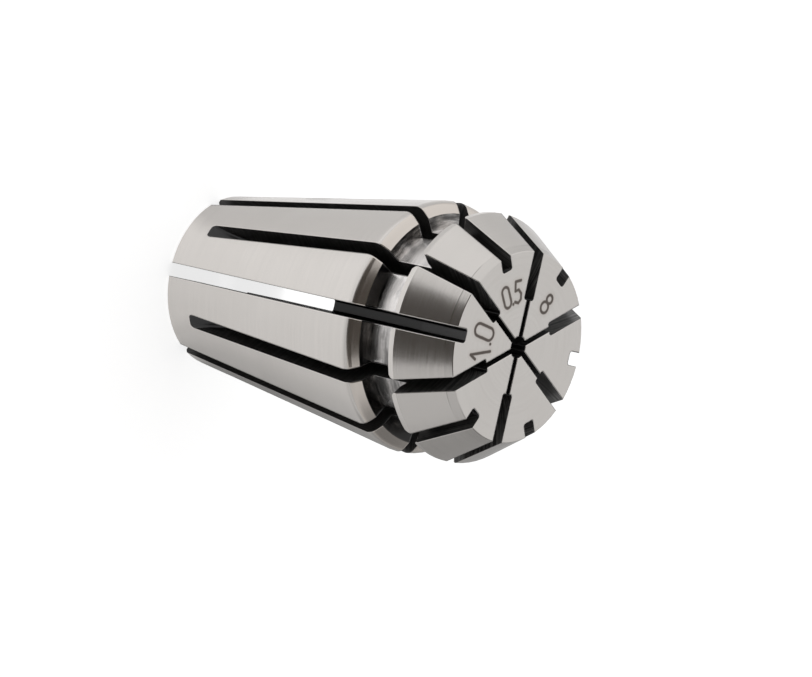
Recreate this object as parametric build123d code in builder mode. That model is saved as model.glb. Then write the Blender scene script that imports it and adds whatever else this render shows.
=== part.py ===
from build123d import *
import math
import os

# A spring collet for a small tool holder, in one piece of hardened and ground steel.
# It is turned, bored through, and sawn from both ends by turns, so that its jaws can close on a shank.
# It stands on its small rear end: Z is its axis, from the rear face at 0 up to the front face.
# All sizes are in millimetres.

# Long taper that seats in the holder. The shoulder is sized to its sharp corner, and the round
# on it leaves 11.5 across the largest place.
overall_length = 18.0
shoulder_diameter = 11.58
taper_half_angle = 8.0
rear_edge_break = 0.12

# Bevel at the big end of the taper, and the groove that the nut's ring pulls on
bevel_drop = 0.54
bevel_length = 0.38
shoulder_round = 0.5
bevel_top_round = 0.4
groove_wall_lean = 0.1
groove_width = 2.0
groove_floor_diameter = 9.2
groove_rear_round = 0.4
groove_front_round = 0.35

# Collar and nose cone that the nut presses on
collar_diameter = 11.3
collar_land = 0.26
collar_edge_round = 0.1
collar_corner_round = 0.35
nose_half_angle = 30.0
face_diameter = 8.6

# Bore that grips the shank, and the wider relief behind it
bore_diameter = 1.0
relief_diameter = 3.2
relief_depth = 7.4
relief_tip_half_angle = 59.0

# Saw cuts: six from the front face and six from the rear face, midway between them
cuts_per_end = 6
saw_diameter = 63.0
saw_thickness = 0.62
front_cut_floor_radius = 2.13
front_cut_tail = 1.7
rear_cut_floor_radius = 0.9
rear_cut_notch_radius = 3.65
saw_corner_round = 0.12

# Fine slits from the floors of the front cuts to the bore
slit_width = 0.25
slit_tail = 3.5

# Cutters reach past the steel by this much
cutter_overrun = 1.0

# Radii and heights that follow from the sizes above
shoulder_radius = shoulder_diameter / 2
collar_radius = collar_diameter / 2
face_radius = face_diameter / 2
groove_floor_radius = groove_floor_diameter / 2
bore_radius = bore_diameter / 2
relief_radius = relief_diameter / 2
saw_radius = saw_diameter / 2
taper_slope = math.tan(math.radians(taper_half_angle))
nose_slope = math.tan(math.radians(nose_half_angle))

nose_base_height = overall_length - (collar_radius - face_radius) / nose_slope
groove_front_height = nose_base_height - collar_land
groove_rear_height = groove_front_height - groove_width
bevel_top_height = groove_rear_height - groove_wall_lean
shoulder_height = bevel_top_height - bevel_length
bevel_top_radius = shoulder_radius - bevel_drop
rear_radius = shoulder_radius - shoulder_height * taper_slope
relief_tip_height = relief_depth + (relief_radius - bore_radius) / math.tan(math.radians(relief_tip_half_angle))
cutter_reach = shoulder_radius + cutter_overrun

# A round takes at most its share of the wall that it stands on
bevel_top_share = 0.25
groove_rear_share = 0.7
groove_front_share = 0.6
rear_wall_length = math.hypot(bevel_top_radius - groove_floor_radius, groove_wall_lean)
rear_wall_angle = math.atan2(groove_wall_lean, bevel_top_radius - groove_floor_radius)
bevel_angle = math.atan2(bevel_length, bevel_drop)
bevel_top_slope = math.tan((bevel_angle - rear_wall_angle) / 2)
front_wall_length = collar_radius - groove_floor_radius
bevel_top_fillet = min(bevel_top_round, bevel_top_share * rear_wall_length / bevel_top_slope)
groove_rear_fillet = min(groove_rear_round, groove_rear_share * rear_wall_length)
groove_front_fillet = min(groove_front_round, groove_front_share * front_wall_length)


def taper_radius(height):
    """Radius of the long taper at a height above the rear face."""
    return rear_radius + height * taper_slope


def saw_run_out(floor_radius, surface_radius):
    """Length along the axis over which a saw's round edge climbs from its floor to a radius."""
    drop = saw_radius - (surface_radius - floor_radius)
    return math.sqrt(saw_radius**2 - drop**2)


def nearest_corner(corners, radius, height):
    """The corner of a profile that lies at a radius and a height."""
    return corners.sort_by_distance((radius, height, 0))[0]


# Cut of the front saw, in the plane of the axis: a straight floor from the front face,
# then the saw's own arc, which leaves the taper near the rear end. The fine slit lies in its floor.
front_saw_height = front_cut_tail + saw_run_out(front_cut_floor_radius, taper_radius(front_cut_tail))
front_arc_end = front_saw_height - saw_run_out(front_cut_floor_radius, cutter_reach)
with BuildPart() as front_cut:
    with BuildSketch(Plane.XZ) as front_cut_side:
        with BuildLine():
            Polyline(
                (front_cut_floor_radius, front_saw_height),
                (front_cut_floor_radius, overall_length + cutter_overrun),
                (cutter_reach, overall_length + cutter_overrun),
                (cutter_reach, front_arc_end),
            )
            RadiusArc(
                (cutter_reach, front_arc_end),
                (front_cut_floor_radius, front_saw_height),
                saw_radius,
            )
        make_face()
    extrude(amount=saw_thickness / 2, both=True)
    front_cut_floor = front_cut.faces().sort_by(Axis.X)[0]
    front_cut_climb = front_cut.faces().filter_by(GeomType.CYLINDER)[0]
    floor_corners = front_cut_floor.edges().filter_by(Axis.Z) + front_cut_climb.edges().filter_by(GeomType.CIRCLE)
    fillet(floor_corners, radius=saw_corner_round)
    with BuildSketch(Plane.XZ) as slit_side:
        with BuildLine():
            Polyline(
                (0, slit_tail),
                (taper_radius(slit_tail) - slit_width, slit_tail),
                (taper_radius(slit_tail) - slit_width, overall_length + cutter_overrun),
                (0, overall_length + cutter_overrun),
                close=True,
            )
        make_face()
    extrude(amount=slit_width / 2, both=True)

# Cut of the rear saw: a floor just outside the bore, then the saw's arc, which climbs across
# the groove, the collar and the nose and breaks out on the front face as a short notch.
rear_saw_height = overall_length - saw_run_out(rear_cut_floor_radius, rear_cut_notch_radius)
rear_arc_end = rear_saw_height + saw_run_out(rear_cut_floor_radius, cutter_reach)
with BuildPart() as rear_cut:
    with BuildSketch(Plane.XZ) as rear_cut_side:
        with BuildLine():
            Polyline(
                (rear_cut_floor_radius, rear_saw_height),
                (rear_cut_floor_radius, -cutter_overrun),
                (cutter_reach, -cutter_overrun),
                (cutter_reach, rear_arc_end),
            )
            RadiusArc(
                (cutter_reach, rear_arc_end),
                (rear_cut_floor_radius, rear_saw_height),
                -saw_radius,
            )
        make_face()
    extrude(amount=saw_thickness / 2, both=True)
    rear_cut_floor = rear_cut.faces().sort_by(Axis.X)[0]
    rear_cut_climb = rear_cut.faces().filter_by(GeomType.CYLINDER)[0]
    floor_corners = rear_cut_floor.edges().filter_by(Axis.Z) + rear_cut_climb.edges().filter_by(GeomType.CIRCLE)
    fillet(floor_corners, radius=saw_corner_round)

# Rounding of the collar's rear corners beside a saw cut, deepest at the outside of the collar:
# what a leaning round bar leaves of a block that stands over each corner
corner_side = saw_thickness / 2 + collar_corner_round
corner_height = groove_front_height + collar_corner_round
corner_inside = groove_floor_radius + groove_front_fillet
corner_lean = collar_corner_round * (1 - math.sqrt(0.5))
lean_start = Vector(corner_inside, corner_side - corner_lean, corner_height - corner_lean)
lean_end = Vector(collar_radius + collar_edge_round, corner_side, corner_height)
lean_axis = lean_end - lean_start
with BuildPart() as corner_break:
    with BuildSketch(Plane.YZ.offset(corner_inside)) as corner_block:
        with Locations((corner_side, corner_height)):
            Rectangle(corner_side, corner_side, align=(Align.MAX, Align.MAX))
    extrude(amount=cutter_reach - corner_inside)
    with BuildSketch(Plane(origin=lean_start, z_dir=lean_axis)) as corner_bar:
        Circle(collar_corner_round)
    extrude(amount=cutter_reach, both=True, mode=Mode.SUBTRACT)
    mirror(about=Plane.XZ)

# The collet: one turned profile, from the relief at the rear, up the outside and down the bore
with BuildPart() as collet:
    with BuildSketch(Plane.XZ) as profile:
        with BuildLine():
            Polyline(
                (relief_radius, 0),
                (rear_radius, 0),
                (shoulder_radius, shoulder_height),
                (bevel_top_radius, bevel_top_height),
                (groove_floor_radius, groove_rear_height),
                (groove_floor_radius, groove_front_height),
                (collar_radius, groove_front_height),
                (collar_radius, nose_base_height),
                (face_radius, overall_length),
                (bore_radius, overall_length),
                (bore_radius, relief_tip_height),
                (relief_radius, relief_depth),
                close=True,
            )
        make_face()
        corners = profile.vertices()
        chamfer(nearest_corner(corners, rear_radius, 0), length=rear_edge_break)
        fillet(nearest_corner(corners, shoulder_radius, shoulder_height), radius=shoulder_round)
        fillet(nearest_corner(corners, bevel_top_radius, bevel_top_height), radius=bevel_top_fillet)
        fillet(nearest_corner(corners, groove_floor_radius, groove_rear_height), radius=groove_rear_fillet)
        fillet(nearest_corner(corners, groove_floor_radius, groove_front_height), radius=groove_front_fillet)
        fillet(nearest_corner(corners, collar_radius, groove_front_height), radius=collar_edge_round)
        fillet(nearest_corner(corners, collar_radius, nose_base_height), radius=collar_edge_round)
    revolve(axis=Axis.Z)
    with PolarLocations(radius=0, count=cuts_per_end):
        add(rear_cut.part, mode=Mode.SUBTRACT)
    with PolarLocations(radius=0, count=cuts_per_end, start_angle=180 / cuts_per_end):
        add(front_cut.part, mode=Mode.SUBTRACT)
    with PolarLocations(radius=0, count=2 * cuts_per_end):
        add(corner_break.part, mode=Mode.SUBTRACT)

collet.part.label = "collet"

os.makedirs("parts", exist_ok=True)
export_step(collet.part, "parts/collet.step")
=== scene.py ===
import math

import bpy
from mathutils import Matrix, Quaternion, Vector

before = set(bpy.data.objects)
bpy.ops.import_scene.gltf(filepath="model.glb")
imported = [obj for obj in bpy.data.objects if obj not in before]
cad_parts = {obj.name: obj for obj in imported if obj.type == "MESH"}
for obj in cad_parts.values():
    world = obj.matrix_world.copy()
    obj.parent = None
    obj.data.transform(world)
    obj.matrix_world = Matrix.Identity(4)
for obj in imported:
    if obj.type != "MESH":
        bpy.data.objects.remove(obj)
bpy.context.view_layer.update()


# The collet is one piece of hardened spring steel, turned, bored, ground on its taper and nose,
# and sawn from both ends. Its finish is made by these tools, so each look is placed by the sizes
# of the cut that leaves it, in millimetres from the centre of the rear face.
overall_length = 18.0
face_radius = 4.3
number, vector = "NodeSocketFloat", "NodeSocketVector"


def put(tree, kind, **settings):
    """Adds a shader node with its settings."""
    made = tree.nodes.new("ShaderNode" + kind)
    for name, value in settings.items():
        setattr(made, name, value)
    return made


def feed(tree, socket, value):
    """Gives a socket a number, a colour or another node's output."""
    if isinstance(value, bpy.types.NodeSocket):
        tree.links.new(value, socket)
    else:
        socket.default_value = value


def work(tree, operation, *values, clamp=False):
    """Adds a maths node on numbers or outputs, and returns its result."""
    made = put(tree, "Math", operation=operation, use_clamp=clamp)
    for socket, value in zip(made.inputs, values):
        feed(tree, socket, value)
    return made.outputs[0]


def ramp(tree, value, start, end, low=0.0, high=1.0):
    """Goes smoothly from low to high as the value goes from start to end."""
    made = put(tree, "MapRange", interpolation_type="SMOOTHSTEP")
    for socket, amount in zip(made.inputs, (value, start, end, low, high)):
        feed(tree, socket, amount)
    return made.outputs[0]


def between(tree, value, start, start_full, end_full, end):
    """Is 1 between two places, and goes smoothly to 0 outside them."""
    rise = ramp(tree, value, start, start_full)
    return work(tree, "MULTIPLY", rise, ramp(tree, value, end_full, end, 1.0, 0.0))


def distance_from(tree, value, place):
    """How far a value is from a place, on either side."""
    return work(tree, "ABSOLUTE", work(tree, "SUBTRACT", value, place))


def blend_colours(tree, share, first, second):
    """Mixes two colours by a share."""
    made = put(tree, "Mix", data_type="RGBA")
    feed(tree, made.inputs[0], share)
    feed(tree, made.inputs[6], first)
    feed(tree, made.inputs[7], second)
    return made.outputs[2]


def noise(tree, place, scale, detail):
    """Adds a noise texture over a place in space, and returns its value."""
    made = put(tree, "TexNoise")
    feed(tree, made.inputs["Vector"], place)
    made.inputs["Scale"].default_value = scale
    made.inputs["Detail"].default_value = detail
    return made.outputs[0]


def new_group(name, inputs, outputs):
    """Starts a node group with named sockets, and returns it with its two ends."""
    tree = bpy.data.node_groups.new(name, "ShaderNodeTree")
    for label, kind in inputs:
        tree.interface.new_socket(label, in_out="INPUT", socket_type=kind)
    for label, kind in outputs:
        tree.interface.new_socket(label, in_out="OUTPUT", socket_type=kind)
    return tree, tree.nodes.new("NodeGroupInput"), tree.nodes.new("NodeGroupOutput")


def use_group(tree, group, **values):
    """Places a node group in a material with its own values."""
    made = put(tree, "Group", node_tree=group)
    for label, value in values.items():
        feed(tree, made.inputs[label.replace("_", " ")], value)
    return made


# Turned form: the distance from the axis, and a length that grows along the turned outline
turned, ends_in, ends_out = new_group(
    "turned form",
    [("Point", vector)],
    [("Radius", number), ("Height", number), ("Angle", number), ("Outline", number)],
)
xyz = put(turned, "SeparateXYZ")
feed(turned, xyz.inputs[0], ends_in.outputs["Point"])
across = work(turned, "MULTIPLY", xyz.outputs[0], xyz.outputs[0])
across = work(turned, "MULTIPLY_ADD", xyz.outputs[1], xyz.outputs[1], across)
across = work(turned, "SQRT", across)
feed(turned, ends_out.inputs["Radius"], across)
feed(turned, ends_out.inputs["Height"], xyz.outputs[2])
feed(turned, ends_out.inputs["Angle"], work(turned, "ARCTAN2", xyz.outputs[1], xyz.outputs[0]))
feed(turned, ends_out.inputs["Outline"], work(turned, "SUBTRACT", xyz.outputs[2], across))

# Saw cut: how far a point is outside six cuts that a round saw makes along the axis, from the
# front with Feed 1 and from the rear with Feed -1, where it is across and along the cut, and a
# number that stays the same along each mark of a tooth. With Mark Lean 1 the marks are the saw's
# own arcs, and with less they stand straighter.
saw_radius = 31.5
half_kerf = 0.31
saw_corner = 0.12
half_pitch = math.pi / 6
saw_cut, ends_in, ends_out = new_group(
    "saw cut",
    [("Point", vector), ("First Angle", number), ("Floor Radius", number), ("Saw Height", number),
     ("Feed", number), ("Mark Lean", number)],
    [("Outside", number), ("Side", number), ("Along", number), ("Tooth Mark", number)],
)
form = use_group(saw_cut, turned, Point=ends_in.outputs["Point"])
angle = work(saw_cut, "SUBTRACT", form.outputs["Angle"], ends_in.outputs["First Angle"])
angle = work(saw_cut, "WRAP", angle, half_pitch, -half_pitch)
along = work(saw_cut, "MULTIPLY", form.outputs["Radius"], work(saw_cut, "COSINE", angle))
side = work(saw_cut, "MULTIPLY", form.outputs["Radius"], work(saw_cut, "SINE", angle))
side = work(saw_cut, "ABSOLUTE", side)
to_centre = work(saw_cut, "SUBTRACT", along, saw_radius)
to_centre = work(saw_cut, "SUBTRACT", to_centre, ends_in.outputs["Floor Radius"])
past = work(saw_cut, "SUBTRACT", form.outputs["Height"], ends_in.outputs["Saw Height"])
past = work(saw_cut, "MINIMUM", work(saw_cut, "MULTIPLY", past, ends_in.outputs["Feed"]), 0.0)
reach = work(saw_cut, "MULTIPLY", to_centre, to_centre)
reach = work(saw_cut, "SQRT", work(saw_cut, "MULTIPLY_ADD", past, past, reach))
below = work(saw_cut, "ADD", work(saw_cut, "SUBTRACT", reach, saw_radius), saw_corner)
beside = work(saw_cut, "ADD", work(saw_cut, "SUBTRACT", side, half_kerf), saw_corner)
below_out = work(saw_cut, "MAXIMUM", below, 0.0)
beside_out = work(saw_cut, "MAXIMUM", beside, 0.0)
corner = work(saw_cut, "MULTIPLY", below_out, below_out)
corner = work(saw_cut, "SQRT", work(saw_cut, "MULTIPLY_ADD", beside_out, beside_out, corner))
within = work(saw_cut, "MINIMUM", work(saw_cut, "MAXIMUM", below, beside), 0.0)
outside = work(saw_cut, "SUBTRACT", work(saw_cut, "ADD", corner, within), saw_corner)
feed(saw_cut, ends_out.inputs["Outside"], outside)
feed(saw_cut, ends_out.inputs["Side"], side)
feed(saw_cut, ends_out.inputs["Along"], along)
depth = work(saw_cut, "SUBTRACT", along, ends_in.outputs["Floor Radius"])
depth = work(saw_cut, "MAXIMUM", depth, 0.0)
half_chord = work(saw_cut, "MULTIPLY", depth, work(saw_cut, "SUBTRACT", 2 * saw_radius, depth))
lean = work(saw_cut, "MULTIPLY", work(saw_cut, "SQRT", half_chord), ends_in.outputs["Mark Lean"])
path = work(saw_cut, "MULTIPLY", form.outputs["Height"], ends_in.outputs["Feed"])
feed(saw_cut, ends_out.inputs["Tooth Mark"], work(saw_cut, "SUBTRACT", path, lean))

# Tool lines: fine rings that a turning or grinding tool leaves, drawn long round the axis
tool_lines, ends_in, ends_out = new_group(
    "tool lines",
    [("Point", vector), ("Outline", number), ("Fineness", number), ("Break Up", number)],
    [("Lines", number)],
)
xyz = put(tool_lines, "SeparateXYZ")
feed(tool_lines, xyz.inputs[0], ends_in.outputs["Point"])
stretched = put(tool_lines, "CombineXYZ")
for socket, length, count in (
    (stretched.inputs[0], xyz.outputs[0], "Break Up"),
    (stretched.inputs[1], xyz.outputs[1], "Break Up"),
    (stretched.inputs[2], ends_in.outputs["Outline"], "Fineness"),
):
    feed(tool_lines, socket, work(tool_lines, "MULTIPLY", length, ends_in.outputs[count]))
grain = put(tool_lines, "TexNoise")
feed(tool_lines, grain.inputs["Vector"], stretched.outputs[0])
grain.inputs["Scale"].default_value = 1.0
grain.inputs["Detail"].default_value = 3.0
grain.inputs["Roughness"].default_value = 0.6
feed(tool_lines, ends_out.inputs["Lines"], grain.outputs[0])

# Stroke: the distance on the front face from one stroke of a sign. The sign is set upright on
# the ray at Turn degrees, with X to its right and Y outwards, and a loop is a stroke round a line.
stroke, ends_in, ends_out = new_group(
    "stroke",
    [("Point", vector), ("Turn", number), ("Start", vector), ("End", vector), ("Loop Radius", number)],
    [("Distance", number)],
)
flat = put(stroke, "VectorMath", operation="MULTIPLY")
feed(stroke, flat.inputs[0], ends_in.outputs["Point"])
flat.inputs[1].default_value = (1, 1, 0)
to_upright = work(stroke, "SUBTRACT", math.pi / 2, work(stroke, "RADIANS", ends_in.outputs["Turn"]))
upright = put(stroke, "VectorRotate", rotation_type="Z_AXIS")
feed(stroke, upright.inputs["Vector"], flat.outputs[0])
feed(stroke, upright.inputs["Angle"], to_upright)
from_start = put(stroke, "VectorMath", operation="SUBTRACT")
feed(stroke, from_start.inputs[0], upright.outputs[0])
feed(stroke, from_start.inputs[1], ends_in.outputs["Start"])
line = put(stroke, "VectorMath", operation="SUBTRACT")
feed(stroke, line.inputs[0], ends_in.outputs["End"])
feed(stroke, line.inputs[1], ends_in.outputs["Start"])
shadow = put(stroke, "VectorMath", operation="DOT_PRODUCT")
feed(stroke, shadow.inputs[0], from_start.outputs[0])
feed(stroke, shadow.inputs[1], line.outputs[0])
square = put(stroke, "VectorMath", operation="DOT_PRODUCT")
feed(stroke, square.inputs[0], line.outputs[0])
feed(stroke, square.inputs[1], line.outputs[0])
share = work(stroke, "DIVIDE", shadow.outputs["Value"], square.outputs["Value"], clamp=True)
nearest = put(stroke, "VectorMath", operation="SCALE")
feed(stroke, nearest.inputs[0], line.outputs[0])
feed(stroke, nearest.inputs["Scale"], share)
gap = put(stroke, "VectorMath", operation="DISTANCE")
feed(stroke, gap.inputs[0], from_start.outputs[0])
feed(stroke, gap.inputs[1], nearest.outputs[0])
from_loop = distance_from(stroke, gap.outputs["Value"], ends_in.outputs["Loop Radius"])
feed(stroke, ends_out.inputs["Distance"], from_loop)

steel = bpy.data.materials.new("ground_steel_finish")
steel.use_nodes = True
tree = steel.node_tree
tree.nodes.clear()
metres = put(tree, "TexCoord")
millimetres = put(tree, "VectorMath", operation="SCALE")
feed(tree, millimetres.inputs[0], metres.outputs["Object"])
millimetres.inputs["Scale"].default_value = 1000.0
point = millimetres.outputs[0]
form = use_group(tree, turned, Point=point)
radius, height, outline = form.outputs["Radius"], form.outputs["Height"], form.outputs["Outline"]
xyz = put(tree, "SeparateXYZ")
feed(tree, xyz.inputs[0], point)
sideways = xyz.outputs[1]

# Turned heights, from the nose down over the collar, the groove and the bevel to the shoulder
collar_radius = 5.65
collar_land = 0.26
groove_width = 2.0
groove_wall_lean = 0.1
bevel_length = 0.38
nose_height = (collar_radius - face_radius) / math.tan(math.radians(30))
groove_front_height = overall_length - nose_height - collar_land
groove_rear_height = groove_front_height - groove_width
bevel_top_height = groove_rear_height - groove_wall_lean
shoulder_height = bevel_top_height - bevel_length

# Where each tool has been: the saws, the fine slits and the drill. The front saw leaves the taper
# near the rear face, and the rear saw leaves the front face as a short notch. The walls of a cut
# are told from its floor, and the front face from what lies under it.
shoulder_radius = 5.79
front_cut_tail = 1.7
tail_radius = shoulder_radius - (shoulder_height - front_cut_tail) * math.tan(math.radians(8))
notch_radius = 3.65
front_floor_radius = 2.13
rear_floor_radius = 0.9
half_slit = 0.125
bore_radius = 0.5
inner_radius = 2.2


def run_out(rise):
    """Length along the axis over which the saw's round edge climbs by a rise."""
    return math.sqrt(saw_radius**2 - (saw_radius - rise)**2)


front_cut = use_group(
    tree, saw_cut, Point=point, First_Angle=half_pitch, Floor_Radius=front_floor_radius,
    Saw_Height=front_cut_tail + run_out(tail_radius - front_floor_radius), Feed=1.0, Mark_Lean=0.1,
)
rear_cut = use_group(
    tree, saw_cut, Point=point, First_Angle=0.0, Floor_Radius=rear_floor_radius,
    Saw_Height=overall_length - run_out(notch_radius - rear_floor_radius), Feed=-1.0, Mark_Lean=1.0,
)
from_saw = work(tree, "MINIMUM", front_cut.outputs["Outside"], rear_cut.outputs["Outside"])
slit_end = work(tree, "SUBTRACT", front_cut.outputs["Along"], front_floor_radius + 0.1)
from_slit = work(tree, "SUBTRACT", front_cut.outputs["Side"], half_slit)
from_slit = work(tree, "MAXIMUM", from_slit, slit_end)
from_bore = work(tree, "SUBTRACT", radius, bore_radius)
from_hole = work(tree, "MINIMUM", from_slit, from_bore)
front_wall, rear_wall = (
    ramp(tree, distance_from(tree, cut.outputs["Side"], half_kerf), 0.01, 0.025, 1.0, 0.0)
    for cut in (front_cut, rear_cut)
)
wall = work(tree, "MAXIMUM", front_wall, rear_wall)
under_face, at_face = overall_length - 0.015, overall_length - 0.008
on_face = ramp(tree, height, under_face, at_face)
inside = between(tree, height, 0.01, 0.02, under_face, at_face)
sawn = ramp(tree, from_saw, 0.012, 0.02, 1.0, 0.0)
bored = work(tree, "MULTIPLY", ramp(tree, radius, inner_radius, inner_radius + 0.05, 1.0, 0.0), inside)
dark = work(tree, "MAXIMUM", sawn, bored)

# The ground steel is a warm light grey, with faint clouds and very faint rings
fine = use_group(tree, tool_lines, Point=point, Outline=outline, Fineness=9.0, Break_Up=0.25).outputs[0]
cloud = noise(tree, point, 0.35, 2.0)
colour = blend_colours(tree, cloud, (0.66, 0.63, 0.60, 1), (0.705, 0.675, 0.65, 1))
ring_grey = (0.5, 0.49, 0.47, 1)
colour = blend_colours(tree, ramp(tree, fine, 0.3, 0.7, 0.0, 0.09), colour, ring_grey)

# The last pass on the nose stopped short of the face and left a line and a slightly duller band
nose_pass_height = overall_length - 0.36
dull_grey = (0.25, 0.24, 0.23, 1)
pass_band = ramp(tree, height, nose_pass_height - 0.01, nose_pass_height + 0.01, 0.0, 0.10)
pass_line = ramp(tree, distance_from(tree, height, nose_pass_height), 0.01, 0.03, 0.55, 0.0)
pass_line = work(tree, "MULTIPLY", pass_line, ramp(tree, cloud, 0.42, 0.6))
passed = work(tree, "MAXIMUM", pass_band, pass_line)
passed = work(tree, "MULTIPLY", passed, work(tree, "SUBTRACT", 1.0, on_face))
colour = blend_colours(tree, passed, colour, dull_grey)

# The bevel keeps a trace of brown from the hardening
bevel_brown = (0.70, 0.645, 0.595, 1)
on_bevel = between(
    tree, height, shoulder_height + 0.01, shoulder_height + 0.05, bevel_top_height, bevel_top_height + 0.04,
)
colour = blend_colours(tree, on_bevel, colour, bevel_brown)

# The groove is turned coarser. On the side of +Y it is painted darker as shade, and its rear wall
# and corner are painted nearly black, which reaches a little farther on the side of -Y.
groove_rim_radius = 5.3
side_shade_grey = (0.10, 0.098, 0.096, 1)
corner_black = (0.05, 0.049, 0.048, 1)
in_groove = between(
    tree, height, bevel_top_height - 0.015, bevel_top_height + 0.005, groove_front_height - 0.03,
    groove_front_height,
)
under_rim = ramp(tree, radius, groove_rim_radius, groove_rim_radius + 0.04, 1.0, 0.0)
in_groove = work(tree, "MULTIPLY", in_groove, under_rim)
coarse = use_group(tree, tool_lines, Point=point, Outline=outline, Fineness=4.0, Break_Up=0.9).outputs[0]
smudge = noise(tree, point, 1.3, 3.0)
smudged = work(tree, "MULTIPLY_ADD", smudge, 0.35, work(tree, "MULTIPLY", coarse, 0.65))
groove_colour = blend_colours(
    tree, ramp(tree, smudged, 0.36, 0.6), (0.64, 0.62, 0.61, 1), (0.84, 0.815, 0.80, 1),
)
# Painted shade: the groove darkens towards the side of +Y
groove_side_shade = work(tree, "MULTIPLY", ramp(tree, sideways, -1.0, 2.0), ramp(tree, smudged, 0.4, 0.6, 0.85, 0.5))
groove_colour = blend_colours(tree, groove_side_shade, groove_colour, side_shade_grey)
corner_black_edge = work(tree, "MULTIPLY_ADD", smudged, 0.35, height)
corner_black_edge = work(tree, "MULTIPLY_ADD", sideways, -0.02, corner_black_edge)
corner_black_edge = work(tree, "SUBTRACT", corner_black_edge, ramp(tree, sideways, -1.2, 1.0, 0.13, 0.0))
corner_black_edge = work(tree, "ADD", corner_black_edge, ramp(tree, sideways, -3.2, -1.8, 0.05, 0.0))
corner_black_share = ramp(tree, corner_black_edge, groove_rear_height + 0.05, groove_rear_height + 0.23, 1.0, 0.0)
groove_colour = blend_colours(tree, corner_black_share, groove_colour, corner_black)
colour = blend_colours(tree, in_groove, colour, groove_colour)

# Numbers etched on the front face: 1.0 and 0.5 are the grip's largest and smallest shank, 8 is
# the half angle of the taper. The etching is brown, and has stained the steel beside it.
sign_radius = 2.52
signs = [
    # Turn of the sign's ray in degrees, start and end of the stroke, loop radius
    (14.0, (0.02, -0.65), (0.02, 0.65), 0.0),
    (14.0, (0.02, 0.65), (-0.22, 0.33), 0.0),
    (3.5, (0.0, -0.6), (0.0, -0.59), 0.0),
    (-8.0, (0.0, -0.37), (0.0, 0.37), 0.28),
    (-53.5, (0.0, -0.28), (0.0, 0.28), 0.22),
    (-62.0, (0.0, -0.48), (0.0, -0.47), 0.0),
    (-71.0, (0.2, 0.5), (-0.16, 0.5), 0.0),
    (-71.0, (-0.16, 0.5), (-0.18, 0.07), 0.0),
    (-71.0, (-0.18, 0.07), (0.04, 0.1), 0.0),
    (-71.0, (0.04, 0.1), (0.2, -0.1), 0.0),
    (-71.0, (0.2, -0.1), (0.18, -0.36), 0.0),
    (-71.0, (0.18, -0.36), (0.0, -0.5), 0.0),
    (-71.0, (0.0, -0.5), (-0.2, -0.42), 0.0),
    (-121.0, (0.0, 0.24), (0.0, 0.25), 0.19),
    (-121.0, (0.0, -0.21), (0.0, -0.22), 0.25),
]
beside_stroke = (0.42, 0.36, 0.31, 1)
etched_brown = (0.085, 0.063, 0.051, 1)
from_sign = overall_length
for turn, start, end, loop in signs:
    mark = use_group(
        tree, stroke, Point=point, Turn=turn, Start=(start[0], sign_radius + start[1], 0),
        End=(end[0], sign_radius + end[1], 0), Loop_Radius=loop,
    )
    from_sign = work(tree, "MINIMUM", from_sign, mark.outputs[0])
stained = work(tree, "MULTIPLY", ramp(tree, from_sign, 0.05, 0.3, 0.16, 0.0), on_face)
blotch = noise(tree, point, 5.0, 2.0)
etched = work(tree, "MULTIPLY_ADD", blotch, 0.03, from_sign)
etched = work(tree, "MULTIPLY", ramp(tree, etched, 0.055, 0.115, 0.85, 0.0), on_face)
colour = blend_colours(tree, stained, colour, beside_stroke)
colour = blend_colours(tree, etched, colour, etched_brown)

# Sawn walls keep grey streaks of the teeth, strongest near the front, and the bore and the cuts'
# floors are painted nearly black as their shade
streaks_per_millimetre = 5.5
floor_shade_black = (0.042, 0.042, 0.043, 1)
hole_shade_black = (0.02, 0.02, 0.02, 1)
in_rear = work(tree, "LESS_THAN", rear_cut.outputs["Outside"], front_cut.outputs["Outside"])
tooth_mark = put(tree, "Mix", data_type="FLOAT")
feed(tree, tooth_mark.inputs[0], in_rear)
feed(tree, tooth_mark.inputs[2], front_cut.outputs["Tooth Mark"])
feed(tree, tooth_mark.inputs[3], rear_cut.outputs["Tooth Mark"])
teeth = put(tree, "TexNoise", noise_dimensions="1D")
feed(tree, teeth.inputs["W"], work(tree, "MULTIPLY", tooth_mark.outputs[0], streaks_per_millimetre))
teeth.inputs["Scale"].default_value = 1.0
teeth.inputs["Detail"].default_value = 3.0
streak = ramp(tree, teeth.outputs[0], 0.42, 0.6)
streak = work(tree, "MULTIPLY", streak, ramp(tree, smudge, 0.35, 0.6, 0.3, 1.0))
streak_fades = ramp(tree, height, overall_length - 2.0, overall_length - 0.4, 0.3, 1.0)
streak = work(tree, "MULTIPLY", streak, streak_fades)
wall_colour = blend_colours(tree, streak, (0.065, 0.063, 0.062, 1), (0.25, 0.245, 0.24, 1))
saw_colour = blend_colours(tree, wall, floor_shade_black, wall_colour)
# Painted shade: deep inside, towards the bore, the surfaces go nearly black
deep_shade = ramp(tree, radius, inner_radius, inner_radius + 0.1, 1.0, 0.0)
saw_colour = blend_colours(tree, deep_shade, saw_colour, hole_shade_black)
colour = blend_colours(tree, dark, colour, saw_colour)

# Ground steel is smoothest, then the black corner and the clean part of the groove, the cuts and the
# etched numbers
roughness = ramp(tree, fine, 0.2, 0.8, 0.16, 0.22)
for mask, level in (
    (in_groove, work(tree, "MULTIPLY_ADD", corner_black_share, -0.1, 0.25)),
    (dark, 0.28),
    (etched, 0.6),
):
    roughness = work(tree, "MAXIMUM", roughness, work(tree, "MULTIPLY", mask, level))

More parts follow.
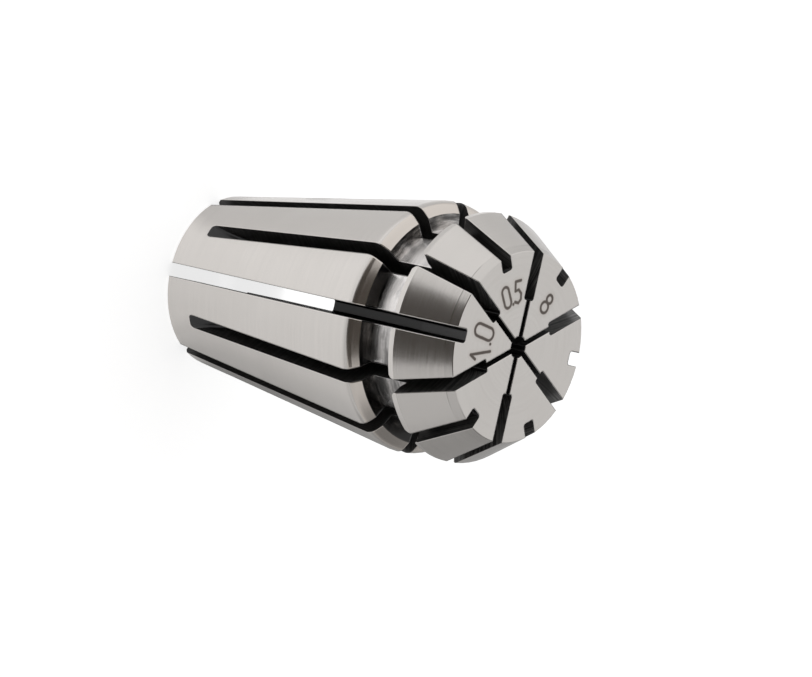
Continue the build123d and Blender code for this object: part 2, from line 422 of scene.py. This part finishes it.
# Sharp edges are worn slightly round: the surface falls away beside each cut and at the rim
edge_round = 0.07
rim_round = 0.04
ring_depth = 0.0015
from_edge = work(tree, "MINIMUM", from_saw, from_hole)
under_end = work(tree, "SUBTRACT", overall_length, height)
from_rim = work(tree, "MAXIMUM", work(tree, "SUBTRACT", face_radius, radius), under_end)
from_edge = work(tree, "MINIMUM", from_edge, work(tree, "ADD", from_rim, edge_round - rim_round))
near_edge = work(tree, "MAXIMUM", work(tree, "SUBTRACT", edge_round, from_edge), 0.0)
fall = work(tree, "MULTIPLY", near_edge, near_edge)
fall = work(tree, "MULTIPLY", fall, -0.5 / edge_round)
fall = work(tree, "MULTIPLY", fall, work(tree, "SUBTRACT", 1.0, dark))
bump = put(tree, "Bump")
bump.inputs["Strength"].default_value = 1.0
bump.inputs["Distance"].default_value = 0.001
feed(tree, bump.inputs["Height"], work(tree, "MULTIPLY_ADD", fine, ring_depth, fall))

surface = put(tree, "BsdfPrincipled")
feed(tree, surface.inputs["Metallic"], work(tree, "MULTIPLY_ADD", dark, -0.65, 1.0))
surface.inputs["Anisotropic"].default_value = 0.6
surface.inputs["Anisotropic Rotation"].default_value = 0.25
round_axis = put(tree, "Tangent", direction_type="RADIAL", axis="Z")
feed(tree, surface.inputs["Tangent"], round_axis.outputs[0])
feed(tree, surface.inputs["Base Color"], colour)
feed(tree, surface.inputs["Roughness"], roughness)
feed(tree, surface.inputs["Normal"], bump.outputs[0])
result = put(tree, "OutputMaterial")
feed(tree, result.inputs["Surface"], surface.outputs[0])

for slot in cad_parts["collet"].material_slots:
    slot.material = steel


# The table that the collet stands on is pale and matt, and part of the studio. It shows white to the
# camera, and keeps the soft shadow at the collet's foot. For the steel it glows with painted light and
# shade: brightest towards the camera, and dimmest behind the collet on the side of +Y.
bpy.ops.mesh.primitive_plane_add(size=6.0, location=(0, 0, 0))
floor = bpy.context.object
floor.name = "floor"
paper = bpy.data.materials.new("pale_table")
paper.use_nodes = True
tree = paper.node_tree
tree.nodes.clear()
matt = put(tree, "BsdfDiffuse")
matt.inputs["Color"].default_value = (0.5, 0.5, 0.5, 1)
metres = put(tree, "TexCoord")
xyz = put(tree, "SeparateXYZ")
feed(tree, xyz.inputs[0], metres.outputs["Object"])
away = work(tree, "MULTIPLY", xyz.outputs[0], xyz.outputs[0])
away = work(tree, "SQRT", work(tree, "MULTIPLY_ADD", xyz.outputs[1], xyz.outputs[1], away))

# The painted light and shade round the foot that the steel mirrors, by the direction on the table
# in degrees. Close to the foot the same tones lie at smaller angles.
back_tone = 0.45
painted_shade_round_foot = (
    (-142, 0.68), (-100, 0.48), (-68, 0.51), (-38, 0.76), (-8, 0.76), (12, 0.66), (42, 0.62),
    (66, 0.5), (95, 0.34), (125, 0.09), (150, 0.02),
)
narrowing = put(tree, "MapRange")
for socket, value in zip(narrowing.inputs, (away, 0.005, 0.014, 0.74, 1.0)):
    feed(tree, socket, value)
turn = work(tree, "ARCTAN2", xyz.outputs[1], xyz.outputs[0])
turn = work(tree, "DIVIDE", turn, narrowing.outputs[0])
round_foot = put(tree, "ValToRGB")
feed(tree, round_foot.inputs[0], work(tree, "MULTIPLY_ADD", turn, 0.5 / math.pi, 0.5))
stops = round_foot.color_ramp
stops.interpolation = "EASE"
for stop in stops.elements:
    stop.color = (back_tone, back_tone, back_tone, 1)
for degrees, tone in painted_shade_round_foot:
    stop = stops.elements.new(0.5 + degrees / 360)
    stop.color = (tone, tone, tone, 1)
far_tone = ramp(tree, xyz.outputs[1], -0.05, 0.05, 0.4, 0.07)
far_tone = work(tree, "ADD", far_tone, ramp(tree, xyz.outputs[0], -0.01, 0.03, 0.0, 0.32))
far_off = ramp(tree, away, 0.015, 0.05)
# Painted light and shade, seen only in the steel's reflections
painted_mirror_tone = work(tree, "MULTIPLY", round_foot.outputs[0], work(tree, "SUBTRACT", 1.0, far_off))
painted_mirror_tone = work(tree, "MULTIPLY_ADD", far_tone, far_off, painted_mirror_tone)

# Light that the table gives off: its white for the camera, and its painted tones of light and shade in the
# steel
seen_white = 0.8
seen = put(tree, "LightPath")
shown = work(tree, "MAXIMUM", seen.outputs["Is Camera Ray"], seen.outputs["Is Transmission Ray"])
shown = work(tree, "MULTIPLY", shown, seen_white)
shown = work(tree, "MULTIPLY_ADD", seen.outputs["Is Glossy Ray"], painted_mirror_tone, shown)
white = put(tree, "Emission")
feed(tree, white.inputs["Strength"], shown)
both = put(tree, "AddShader")
feed(tree, both.inputs[0], matt.outputs[0])
feed(tree, both.inputs[1], white.outputs[0])
result = put(tree, "OutputMaterial")
feed(tree, result.inputs["Surface"], both.outputs[0])
floor.data.materials.append(paper)

# The studio is a plain white tent, a little brighter on the side of the picture's top, and
# softly dimmer behind the collet on the other side.
tent_level = 0.76
side_slope = -0.17
dim_direction = (-0.55, 0.70, 0.45)
dim_depth = 0.42
world = bpy.data.worlds.new("studio")
bpy.context.scene.world = world
world.use_nodes = True
tree = world.node_tree
tent = tree.nodes["Background"]
direction = put(tree, "TexCoord")
xyz = put(tree, "SeparateXYZ")
feed(tree, xyz.inputs[0], direction.outputs["Generated"])
tent.inputs["Color"].default_value = (1, 1, 1, 1)
toward = put(tree, "VectorMath", operation="DOT_PRODUCT")
feed(tree, toward.inputs[0], direction.outputs["Generated"])
toward.inputs[1].default_value = dim_direction
level = work(tree, "MULTIPLY_ADD", xyz.outputs[1], side_slope, tent_level)
level = work(tree, "SUBTRACT", level, ramp(tree, toward.outputs["Value"], 0.76, 1.0, 0.0, dim_depth))
feed(tree, tent.inputs["Strength"], level)

# Behind the camera the tent has a round dark opening, which the nose of a real collet mirrors
# as its dark side. It is a disc of cloth, hung square to the collet.
camera_place = Vector((0.174807, -0.001646, 0.162172))
aim = Vector((0.0, 0.000733, 0.011509))
to_opening = Vector((0.719, 0.0, 0.695))
opening_distance = 0.6
opening_half_angle = math.radians(38.5)
bpy.ops.mesh.primitive_circle_add(
    vertices=96, radius=opening_distance * math.tan(opening_half_angle), fill_type="NGON",
    location=aim + to_opening * opening_distance,
)
opening = bpy.context.object
opening.name = "dark_opening"
opening.rotation_mode = "QUATERNION"
opening.rotation_quaternion = to_opening.to_track_quat("Z", "Y")
cloth = bpy.data.materials.new("dark_cloth")
cloth.use_nodes = True
cloth_surface = cloth.node_tree.nodes["Principled BSDF"]
cloth_surface.inputs["Base Color"].default_value = (0.165, 0.148, 0.132, 1)
cloth_surface.inputs["Roughness"].default_value = 1.0
opening.data.materials.append(cloth)
opening.visible_camera = False

# The camera has the photograph's own viewing angle and framing.
camera_data = bpy.data.cameras.new("camera")
camera_data.lens = 227.4
camera_data.sensor_width = 36.0
camera_roll = math.radians(102.99)
camera = bpy.data.objects.new("camera", camera_data)
bpy.context.scene.collection.objects.link(camera)
camera.location = camera_place
camera.rotation_mode = "QUATERNION"
level_view = (camera_place - aim).to_track_quat("Z", "Y")
camera.rotation_quaternion = level_view @ Quaternion((0, 0, 1), camera_roll)
bpy.context.scene.camera = camera
bpy.context.scene.view_settings.view_transform = "Standard"
